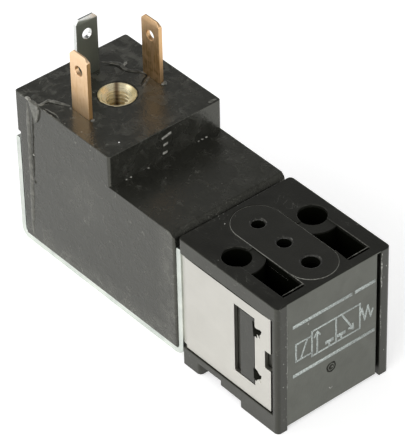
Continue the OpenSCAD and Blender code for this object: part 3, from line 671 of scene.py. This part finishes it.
# Marks in the step face: three short raised bars left by the mould, painted pale as highlights, in
# a dark patch of painted shade, and small crumbs of flash along the foot of the step.

step_x = plug_x + 15.5 * mm


def raised_bar(name, y0, y1, z0, z1):
    """A short raised bar on the step face, rounded all over."""
    mesh = bmesh.new()
    bmesh.ops.create_cube(mesh, size=1.0)
    for vert in mesh.verts:
        slant = (z1 - z0) * mm * (0.5 + vert.co.y)
        vert.co = Vector((
            step_x + vert.co.x * 0.1 * mm,
            ((y0 + y1) / 2 + vert.co.y * (y1 - y0)) * mm,
            z0 * mm + slant + vert.co.z * 0.3 * mm))
    bar = new_piece(name, mesh, [coil_torn_highlight], "valve")
    rounding = bar.modifiers.new("edges", "BEVEL")
    rounding.width = 0.05 * mm
    rounding.segments = 3


# Painted shade: a dark flat patch round the bars stands for the shade of the sunk area.
crumb("step_patch", Vector((step_x, 0.1 * mm, 18.1 * mm)), (0.02, 0.62, 1.35), 30, crevice_shade)
for number, (y0, y1, z0, z1) in enumerate([
        (-0.5, 0.75, 18.98, 19.24), (-0.32, 0.28, 18.08, 18.14), (-0.42, 0.2, 17.06, 17.08)], start=1):
    raised_bar(f"step_bar_{number}", y0, y1, z0, z1)
for number, y in enumerate([-5.3, -4.7, -2.4, 4.3, 4.8, 5.35], start=1):
    crumb(f"step_crumb_{number}", Vector((step_x + 0.05 * mm, y * mm, 16.27 * mm)),
          (0.08, 0.12, 0.07), 10 + number, coil_torn_highlight)

# Yoke: zinc plated steel strip bent to a U, which carries the magnet's flux round the coil. It is
# slid on from below, and the core's stud is staked in its rear leg.


def strip_finish(name, first, second, smooth, rough, depth, **strip_values):
    """Bare or plated metal, blotched from one tone to another and rougher along its streaks."""
    made, tree, shader = new_finish(name, first, 1.0, smooth)
    strip = use_effect(tree, rolled_strip, **strip_values)
    feed(tree, shader, {
        "Base Color": blend_colours(tree, strip["Blotch"], first, second),
        "Roughness": between(tree, strip["Streak"], smooth, rough)})
    roughen(tree, shader, strip["Streak"], depth)
    return made


dress(strip_finish(
    "zinc_plate", (222, 227, 219), (196, 202, 196), 0.3, 0.45, 0.002 * mm,
    Stretch_X=12.0, Stretch_Z=12.0, Width=0.12, Blotch=2.2), "yoke")
soften_edges("yoke", 0.12 * mm)

# Core and guide tube: the pole is turned from soft magnetic steel, and the tube is drawn from thin
# stainless steel with a flange that seals against the valve body.


def bright_finish(name, clean, dull, rough):
    """Turned or drawn steel with fine rings round the magnet's axis."""
    return strip_finish(
        name, clean, dull, rough - 0.06, rough + 0.08, 0.0015 * mm,
        Stretch_Y=10.0, Stretch_Z=10.0, Width=0.05, Blotch=1.8)


dress(bright_finish("magnet_steel", (176, 176, 174), (150, 149, 147), 0.34), "fixed_core")
dress(bright_finish("tube_steel", (204, 204, 200), (186, 186, 182), 0.24), "guide_tube")

# Plunger, push pins and return spring: the moving core, three hardened pins pressed in its nose,
# and the wire spring that pushes it away from the fixed core.

dress(bright_finish("plunger_steel", (184, 184, 182), (160, 160, 158), 0.3), "plunger")
dress(bright_finish("pin_steel", (206, 206, 205), (188, 188, 188), 0.18), "push_pins")
spring_wire = bright_finish("spring_wire", (190, 190, 192), (160, 160, 164), 0.22)
dress(spring_wire, "return_spring", "poppet_spring")

# Valve body: black acetal moulding with the port face, the mounting holes, the core pockets and
# the feet. The clip's legs lie in its sides and its bore takes the seats.


def body_finish():
    """Black acetal with flow clouds; its sides and its front panel painted paler as lit faces, and its
    bores painted dark as shade.
    """
    made, tree, shader = plastic_finish("body_acetal", (30, 30, 27), 0.34)
    shader.inputs["IOR"].default_value = 1.55
    grain = use_effect(tree, moulded_grain, Grain=0.2, Cloud=2.2)
    where = object_place(tree)[1]
    post_y = 6.2 * mm
    bores_y = 6.65 * mm
    side_y = 7.35 * mm
    front_wall = 1.05 * mm
    fade = 0.05 * mm
    front = between(tree, where["X"], 0.0, 1.0, body_high.x - 0.12 * mm, body_high.x - 0.1 * mm)
    off_middle = calculate(tree, "ABSOLUTE", where["Y"])
    between_posts = between(tree, off_middle, 1.0, 0.0, post_y - fade, post_y + fade)
    lit_panel_mask = calculate(tree, "MULTIPLY", front, between_posts)
    below = between(tree, where["Z"], 1.0, 0.0, body_high.z - 0.4 * mm, body_high.z - 0.12 * mm)
    within = between(tree, off_middle, 1.0, 0.0, bores_y - fade, bores_y + fade)
    wall_x = body_high.x - front_wall
    behind = between(tree, where["X"], 1.0, 0.0, wall_x - fade, wall_x + fade)
    # Painted shade: inside the bores the colour goes near black and the shine is turned off.
    painted_bore_shade = calculate(tree, "MULTIPLY", below, within)
    painted_bore_shade = calculate(tree, "MULTIPLY", painted_bore_shade, behind)
    # Painted light: the side faces are a paler copy of the same acetal, as lit faces.
    side_light_mask = between(tree, off_middle, 0.0, 1.0, side_y - fade, side_y + fade)
    shine = between(tree, where["Z"], 0.5, 0.39, body_high.z - 0.1 * mm, body_high.z - 0.04 * mm)
    unshaded_outside_bores = between(tree, painted_bore_shade, 1.0, 0.0)
    speckled = blend_colours(tree, grain["Fine"], (12, 12, 10), (24, 24, 21))
    clouded = blend_colours(tree, grain["Cloud"], speckled, (24, 24, 21))
    clouded = blend_colours(tree, side_light_mask, clouded, (36, 36, 32))
    marked = blend_colours(tree, grain["Scratch"], clouded, (90, 90, 85))
    # Painted light: the front panel between the posts is a much paler copy of the acetal, keeping its
    # cloud.
    worn = blend_colours(tree, grain["Cloud"], (66, 68, 62), (80, 82, 76))
    skin = blend_colours(tree, lit_panel_mask, marked, worn)
    gloss = between(tree, grain["Cloud"], 0.28, 0.38)
    feed(tree, shader, {
        "Base Color": blend_colours(tree, painted_bore_shade, skin, (8, 9, 5)),
        "Specular IOR Level": calculate(tree, "MULTIPLY", shine, unshaded_outside_bores),
        "Roughness": calculate(tree, "MAXIMUM", gloss, painted_bore_shade)})
    roughen(tree, shader, grain["Fine"], 0.005 * mm)
    return made


body_low, body_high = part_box("valve_body")


def on_outside(edge):
    """True for the edges of the block's own faces, but not for those deep in its bores."""
    middle = (edge.verts[0].co + edge.verts[1].co) / 2
    reach = 0.02 * mm
    return (
        middle.z > body_high.z - reach
        or abs(middle.y) > body_high.y - reach
        or middle.x > body_high.x - 1.0 * mm
        or middle.z < 2.1 * mm)


body_acetal = body_finish()
body_rubbed = pale_and_highlight_finish("body_acetal_rubbed", (44, 44, 40), (150, 150, 144), 0.35)
moulded_copy(
    "valve_body", "body_moulding", 0.07 * mm, [body_acetal, body_rubbed], "valve",
    on_outside)

# Block's front panel: a cap over the far post's slot with a torn edge down it, the gate's scar,
# and a worn printed flow symbol of a generic three-port valve.

panel_x = body_high.x - 0.08 * mm
post_x = body_high.x
front = Vector((1, 0, 0))


def on_panel(*places, x=panel_x):
    """Points on the front panel, in millimetres from the middle and from the floor."""
    return [Vector((x, y * mm, z * mm)) for y, z in places]


body_torn = pale_and_highlight_finish("body_torn", (66, 66, 61), (178, 178, 172), 0.3)
body_shadow = shadow_finish("body_shadow", (24, 24, 21), (66, 66, 61))
flash_line("slot_torn_edge", on_panel(
    (6.28, 16.1), (6.24, 15.2), (6.27, 14.3), (6.22, 13.3), (6.28, 12.4), (6.25, 11.6), x=post_x),
    front, 0.07, 0.05, body_torn, rag=1.2)
flash_line("slot_torn_edge_low", on_panel(
    (6.26, 9.6), (6.22, 8.2), (6.28, 6.6), (6.24, 5.0), x=post_x),
    front, 0.04, 0.04, body_torn, rag=1.4)
flash_line("near_post_seam", on_panel(
    (-6.2, 15.9), (-6.19, 12.0), (-6.21, 8.0), (-6.2, 3.5)),
    front, 0.05, 0.06, body_torn, rag=1.6)
post_specks = [
    (-6.3, 14.9), (-6.62, 12.9), (-6.4, 11.2), (-6.7, 9.1), (-6.35, 7.7), (-6.75, 6.1), (-6.45, 4.4),
    (-6.6, 3.1), (-6.35, 1.9), (6.9, 14.2), (6.6, 12.9), (6.75, 3.2)]
for number, place in enumerate(post_specks, start=1):
    crumb(f"post_speck_{number}", on_panel(place, x=post_x)[0], (0.02, 0.05, 0.07), 40 + number,
          body_torn)
seam_specks = [
    (7.39, -2.56, 0.07), (7.14, -0.96, 0.035), (6.05, -2.24, 0.05), (6.1, -1.64, 0.04),
    (6.55, -1.46, 0.035), (6.46, -2.45, 0.035), (6.1, 2.9, 0.04), (6.05, 0.3, 0.04), (11.28, -6.72, 0.04)]
for number, (x, y, size) in enumerate(seam_specks, start=1):
    crumb(f"seam_speck_{number}", Vector((x * mm, y * mm, body_high.z)), (size, size, 0.03), 60 + number,
          body_torn)


def build_gate_scar():
    """A round sunk ring with a torn middle, where the melt came in and the runner broke off."""
    profile = [(0.16, 0.05), (0.26, 0.01), (0.4, -0.01), (0.52, 0.03), (0.62, 0.02), (0.68, -0.02)]
    centre = on_panel((-0.31, 4.98))[0]
    mesh = bmesh.new()
    rings = []
    for radius, lift in profile:
        ring = []
        for k in range(32):
            angle = 2 * math.pi * k / 32
            across, along = math.cos(angle), math.sin(angle)
            ragged = radius * (1 + 0.12 * noise.noise(Vector((across, along, radius)) * 2))
            ring.append(centre + Vector((lift, ragged * across, ragged * along)) * mm)
        rings.append(ring)
    back = [point - front * 0.1 * mm for point in rings[-1]]
    close_rings(mesh, rings + [back])
    # Painted shade: the scar takes the dark body_shadow finish for the shade in its sunk ring.
    new_piece("gate_scar", mesh, [body_shadow], "valve")


build_gate_scar()
# The pale rims along the pockets' edges are part rubbing and part painted highlight.
for side, inner, outer in (("far", 2.9, 5.74), ("near", -5.7, -2.86)):
    rim = [Vector((x * mm, y * mm, body_high.z)) for x, y in (
        (15.0, outer), (17.0, outer), (19.4, outer), (19.53, outer - 0.12), (19.55, inner + 1.4),
        (19.55, inner))]
    flash_line(f"pocket_rim_{side}", rim, up, 0.045, 0.02, coil_flash_wear_and_highlight)
crumb("gate_crumb", on_panel((-0.22, 5.0))[0], (0.06, 0.13, 0.12), 21, body_torn)
crumb("panel_dot", on_panel((-3.36, 12.4))[0], (0.03, 0.1, 0.1), 22, body_torn)
flash_line("panel_tick", on_panel((-0.6, 2.45), (-0.4, 2.2), (-0.1, 2.3)), front, 0.05, 0.03,
           body_torn)


def print_finish():
    """Pad printed ink, pale grey and worn through in patches."""
    made, tree, shader = new_finish("worn_print", (176, 184, 180), 0.0, 0.5)
    grain = use_effect(tree, moulded_grain, Grain=0.14, Cloud=0.8)
    worn = between(tree, grain["Fine"], 0.0, 1.0, 0.25, 0.75)
    feed(tree, shader, {
        "Base Color": blend_colours(tree, worn, (132, 138, 134), (190, 198, 194)),
        "Roughness": between(tree, grain["Cloud"], 0.42, 0.55)})
    roughen(tree, shader, grain["Fine"], 0.003 * mm)
    return made


def stroke(mesh, start, end, width):
    """A thin printed bar between two places on the panel."""
    a, b = on_panel(start, end)
    along = (b - a).normalized()
    across = front.cross(along) * width * mm / 2
    a, b = a - along * width * mm / 2, b + along * width * mm / 2
    skin = front * (0.012 + 0.00002 * len(mesh.verts)) * mm
    low = [mesh.verts.new(p - skin) for p in (a - across, b - across, b + across, a + across)]
    high = [mesh.verts.new(p + skin) for p in (a - across, b - across, b + across, a + across)]
    mesh.faces.new(high)
    mesh.faces.new(list(reversed(low)))
    for k in range(4):
        j = (k + 1) % 4
        mesh.faces.new((low[k], low[j], high[j], high[k]))


def build_flow_symbol():
    """Two squares with a three-port valve's paths, between a coil box and a spring."""
    thin = 0.22
    bold = 0.42
    low, high = 7.9, 11.1
    left, middle, right = -2.9, 0.3, 3.5
    squares = [
        (left, low, right, low, thin), (left, high, right, high, thin), (left, low, left, high, thin),
        (middle, low, middle, high, thin), (right, low, right, high, thin)]
    arrow = [
        (-2.2, low, -2.2, high - 0.5, thin), (-2.55, high - 0.9, -2.2, high - 0.4, thin),
        (-1.85, high - 0.9, -2.2, high - 0.4, thin)]
    stops = [
        (-0.6, low, -0.6, low + 0.7, thin), (-0.95, low + 0.7, -0.25, low + 0.7, bold),
        (1.0, low, 1.0, low + 0.7, thin), (0.65, low + 0.7, 1.35, low + 0.7, bold)]
    slanted_arrow = [
        (1.0, high, 2.6, low + 0.5, thin), (2.6, low + 0.5, 2.55, low + 1.15, thin),
        (2.6, low + 0.5, 2.05, low + 0.8, thin)]
    coil_box = [
        (-5.0, 8.4, -2.9, 8.4, thin), (-5.0, 8.4, -5.0, 10.6, thin), (-5.0, 10.6, -2.9, 10.6, thin),
        (-4.4, 8.4, -3.5, 10.6, thin)]
    zigzag = [(3.5, 9.5), (3.75, 10.3), (4.15, 8.7), (4.55, 10.3), (4.95, 8.7), (5.2, 9.5)]
    spring = [(*start, *end, thin) for start, end in zip(zigzag, zigzag[1:])]
    rules = [(-5.2, 6.6, 5.3, 6.6, bold), (-5.2, 13.0, 2.2, 13.0, bold), (3.0, 13.0, 5.3, 13.0, bold)]
    mesh = bmesh.new()
    for y0, z0, y1, z1, width in squares + arrow + stops + slanted_arrow + coil_box + spring + rules:
        stroke(mesh, (y0, z0), (y1, z1), width)
    new_piece("flow_symbol", mesh, [print_finish()], "valve")


build_flow_symbol()

# Port gasket: moulded nitrile plate let into the port face, its three mouths bevelled. It seals
# against the manifold, so it is matt and very slightly paler than the body.


def gasket_finish():
    """Moulded rubber with a fine matt grain, painted dark as shade down inside its port mouths."""
    made, tree, shader = plastic_finish("gasket_rubber", (40, 40, 38), 0.5)
    grain = use_effect(tree, moulded_grain, Grain=0.12, Cloud=1.8)
    height = object_place(tree)[1]["Z"]
    # Painted shade: the mouths darken and lose their shine below the plate's face.
    mouth_shade = between(tree, height, 1.0, 0.0, gasket_high.z - 0.3 * mm, gasket_high.z - 0.06 * mm)
    skin = blend_colours(tree, grain["Cloud"], (18, 18, 15), (26, 26, 23))
    feed(tree, shader, {
        "Base Color": blend_colours(tree, mouth_shade, skin, (14, 15, 11)),
        "Specular IOR Level": between(tree, mouth_shade, 0.45, 0.0),
        "Roughness": between(tree, grain["Fine"], 0.42, 0.55)})
    roughen(tree, shader, grain["Fine"], 0.004 * mm)
    return made


def gasket_edge_finish():
    """The plate's edges: rubbed pale all round its outline, but only here and there at the port mouths."""
    made, tree, shader = new_finish("gasket_rubbed", (96, 96, 90), 0.0, 0.45)
    grain = use_effect(tree, moulded_grain, Grain=0.12, Cloud=0.35)
    where = object_place(tree)[1]
    off_line = calculate(tree, "ABSOLUTE", where["Y"])
    beside = between(tree, off_line, 0.0, 1.0, 1.45 * mm, 1.55 * mm)
    behind = between(tree, where["X"], 1.0, 0.0, gasket_low.x + 0.9 * mm, gasket_low.x + 1.0 * mm)
    ahead = between(tree, where["X"], 0.0, 1.0, gasket_high.x - 1.0 * mm, gasket_high.x - 0.9 * mm)
    outline = calculate(tree, "MAXIMUM", behind, ahead)
    outline = calculate(tree, "MAXIMUM", outline, beside)
    patchy = between(tree, grain["Cloud"], 0.0, 1.0, 0.55, 1.0)
    mouth = blend_colours(tree, patchy, (24, 24, 21), (92, 92, 86))
    worn = blend_colours(tree, grain["Cloud"], (84, 84, 78), (140, 140, 132))
    feed(tree, shader, {
        "Base Color": blend_colours(tree, outline, mouth, worn),
        "Roughness": between(tree, grain["Fine"], 0.36, 0.52)})
    roughen(tree, shader, grain["Fine"], 0.006 * mm)
    return made


gasket_low, gasket_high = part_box("port_gasket")
dress(gasket_finish(), "port_gasket")
soften_edges("port_gasket", 0.06 * mm, gasket_edge_finish())

# Seats and poppet: two turned brass seats face the rubber disc of the poppet, which a light
# spring lifts off the supply seat when the pins draw back.

dress(strip_finish(
    "turned_brass", (232, 216, 172), (216, 194, 144), 0.24, 0.34, 0.0004 * mm,
    Stretch_X=10.0, Stretch_Y=10.0, Width=0.15, Blotch=0.9), "exhaust_seat", "supply_seat", "poppet_holder")


def seal_finish():
    """Soft black nitrile with a slight bloom."""
    made, tree, shader = new_finish("seal_rubber", (34, 34, 34), 0.0, 0.55)
    grain = use_effect(tree, moulded_grain, Grain=0.1, Cloud=0.9)
    feed(tree, shader, {
        "Base Color": blend_colours(tree, grain["Cloud"], (30, 30, 30), (44, 44, 43)),
        "Roughness": between(tree, grain["Cloud"], 0.48, 0.64)})
    roughen(tree, shader, grain["Fine"], 0.003 * mm)
    return made


dress(seal_finish(), "poppet_seal", "flange_o_ring", "exhaust_seat_o_ring", "supply_seat_o_ring")

# Retaining clip: U of bright spring steel strip. Its base clamps the tube's flange and its legs
# snap into the body's sides, each held by a moulded lug in its window.

dress(strip_finish(
    "clip_steel", (200, 198, 191), (195, 193, 186), 0.31, 0.38, 0.0006 * mm,
    Stretch_X=18.0, Width=0.1, Blotch=2.6), "retaining_clip")
soften_edges("retaining_clip", 0.05 * mm)
clip_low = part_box("retaining_clip")[0]
# Painted shade: dark flakes on the plate stand for the notches, dark with shade and the black plastic
# behind, and a dark line along the plate's top edge stands for the shadow in the gap above it.
notch_shade = shadow_finish("notch_shade", (8, 8, 5), (24, 24, 18))
# Painted highlight: small pale flakes at the notches stand for the light caught by the plate's cut edge.
clip_edge_glint = pale_and_highlight_finish("clip_edge_glint", (190, 188, 180), (228, 226, 218), 0.3)
for name, finish, lift, corners in [
        ("notch_upper", notch_shade, 0.012, [
            (17.05, 12.62), (17.3, 12.3), (17.45, 11.95), (17.85, 12.0), (18.2, 12.1), (18.42, 12.0),
            (18.3, 11.6), (18.1, 11.35), (18.15, 11.0), (17.85, 11.1), (17.7, 10.75), (17.5, 10.95),
            (17.2, 10.7)]),
        ("notch_lower", notch_shade, 0.012, [
            (17.15, 6.55), (17.4, 6.35), (17.7, 6.4), (18.1, 6.15), (18.35, 6.2), (18.3, 5.75),
            (18.05, 5.6), (18.0, 5.15), (17.75, 5.35), (17.55, 5.0), (17.2, 5.2)]),
        ("notch_upper_glint", clip_edge_glint, 0.03, [
            (17.75, 11.3), (17.95, 11.25), (18.2, 10.9), (18.0, 10.85), (17.8, 11.0)]),
        ("notch_lower_glint", clip_edge_glint, 0.03, [
            (17.85, 5.45), (18.1, 5.5), (18.25, 5.1), (17.95, 4.95)])]:
    outline = [Vector((x * mm, clip_low.y, z * mm)) for x, z in corners]
    flake(name, outline, [lift] * len(corners), 0.02, finish)
flash_line("clip_upper_gap_shadow", [Vector((x * mm, body_low.y, 14.57 * mm)) for x in (7.0, 11.0, 15.0, 19.7)],
           near, 0.06, 0.02, notch_shade, rag=0.3)

# Studio: the valve stands on a plain white floor among three soft lamps. The camera looks down
# on the front and the clip side through a long lens, with a slight roll.


def seen_rays(tree):
    """1 where the camera sees the surface directly or in a reflection, and 0 for the light it gives."""
    rays = add(tree, "ShaderNodeLightPath", {}).outputs
    seen = calculate(tree, "ADD", rays["Is Camera Ray"], rays["Is Glossy Ray"])
    return calculate(tree, "ADD", seen, rays["Is Transmission Ray"])


def build_floor():
    """A white disc. Seen directly or in a reflection it glows up to white, and it keeps the shadow."""
    mesh = bmesh.new()
    bmesh.ops.create_circle(mesh, cap_ends=True, segments=96, radius=3.0)
    data = bpy.data.meshes.new("floor")
    mesh.to_mesh(data)
    mesh.free()
    floor = bpy.data.objects.new("floor", data)
    bpy.context.scene.collection.objects.link(floor)
    made, tree, shader = new_finish("floor_white", (236, 236, 236), 0.0, 0.9)
    glow = calculate(tree, "MULTIPLY", seen_rays(tree), 0.52)
    feed(tree, shader, {"Emission Color": paint(255, 255, 255), "Emission Strength": glow})
    data.materials.append(made)


def build_sky():
    """Soft even light, and a backdrop that goes from white at the floor to grey overhead."""
    world = bpy.data.worlds.new("studio")
    bpy.context.scene.world = world
    world.use_nodes = True
    tree = world.node_tree
    tree.nodes.clear()
    heading = add(tree, "ShaderNodeTexCoord", {}).outputs["Generated"]
    height = add(tree, "ShaderNodeSeparateXYZ", {"Vector": heading}).outputs["Z"]
    backdrop = add(tree, "ShaderNodeBackground", {
        "Color": paint(255, 255, 255), "Strength": between(tree, height, 1.0, 0.2, 0.12, 0.6)})
    fill = add(tree, "ShaderNodeBackground", {"Color": paint(255, 255, 255), "Strength": 0.35})
    both = add(tree, "ShaderNodeMixShader", {
        0: seen_rays(tree), 1: fill.outputs[0], 2: backdrop.outputs[0]})
    add(tree, "ShaderNodeOutputWorld", {"Surface": both.outputs[0]})


def from_angles(azimuth, elevation):
    """The direction from the valve at an azimuth, where 0 is on its near side, and an elevation."""
    a, e = math.radians(azimuth), math.radians(elevation)
    return Vector((math.sin(a) * math.cos(e), -math.cos(a) * math.cos(e), math.sin(e)))


def add_lamp(name, azimuth, elevation, value):
    """A square lamp that lights a white surface facing it to the given value."""
    distance = 0.6
    lamp = bpy.data.lights.new(name, "AREA")
    lamp.size = 0.4
    lamp.energy = value * math.pi ** 2 * distance ** 2
    holder = bpy.data.objects.new(name, lamp)
    bpy.context.scene.collection.objects.link(holder)
    direction = from_angles(azimuth, elevation)
    holder.location = direction * distance + Vector((0, 0, 10 * mm))
    holder.rotation_mode = "QUATERNION"
    holder.rotation_quaternion = direction.to_track_quat("Z", "Y")


def add_camera():
    """The camera, aimed a little off the valve's middle, with its long lens and slight roll."""
    azimuth = 50.688
    elevation = 39.025
    roll = math.radians(-1.423)
    distance = 332.31 * mm
    aim = Vector((0.14, 0.506, 10.583)) * mm
    back = from_angles(azimuth, elevation)
    right = Vector((0, 0, 1)).cross(back).normalized()
    up = back.cross(right)
    rolled_right = right * math.cos(roll) + up * math.sin(roll)
    rolled_up = up * math.cos(roll) - right * math.sin(roll)
    camera = bpy.data.cameras.new("camera")
    camera.sensor_width = 36
    camera.lens = 262.084
    camera.clip_start = 0.01
    camera.clip_end = 20
    holder = bpy.data.objects.new("camera", camera)
    bpy.context.scene.collection.objects.link(holder)
    turn = Matrix((rolled_right, rolled_up, back)).transposed()
    holder.matrix_world = Matrix.Translation(aim + back * distance) @ turn.to_4x4()
    bpy.context.scene.camera = holder


build_floor()
build_sky()
add_lamp("near_lamp", 20, 25, 0.5)
add_lamp("front_lamp", 95, 18, 0.35)
add_lamp("rear_lamp", 310, 39, 0.3)
add_camera()
bpy.context.scene.view_settings.view_transform = "Standard"
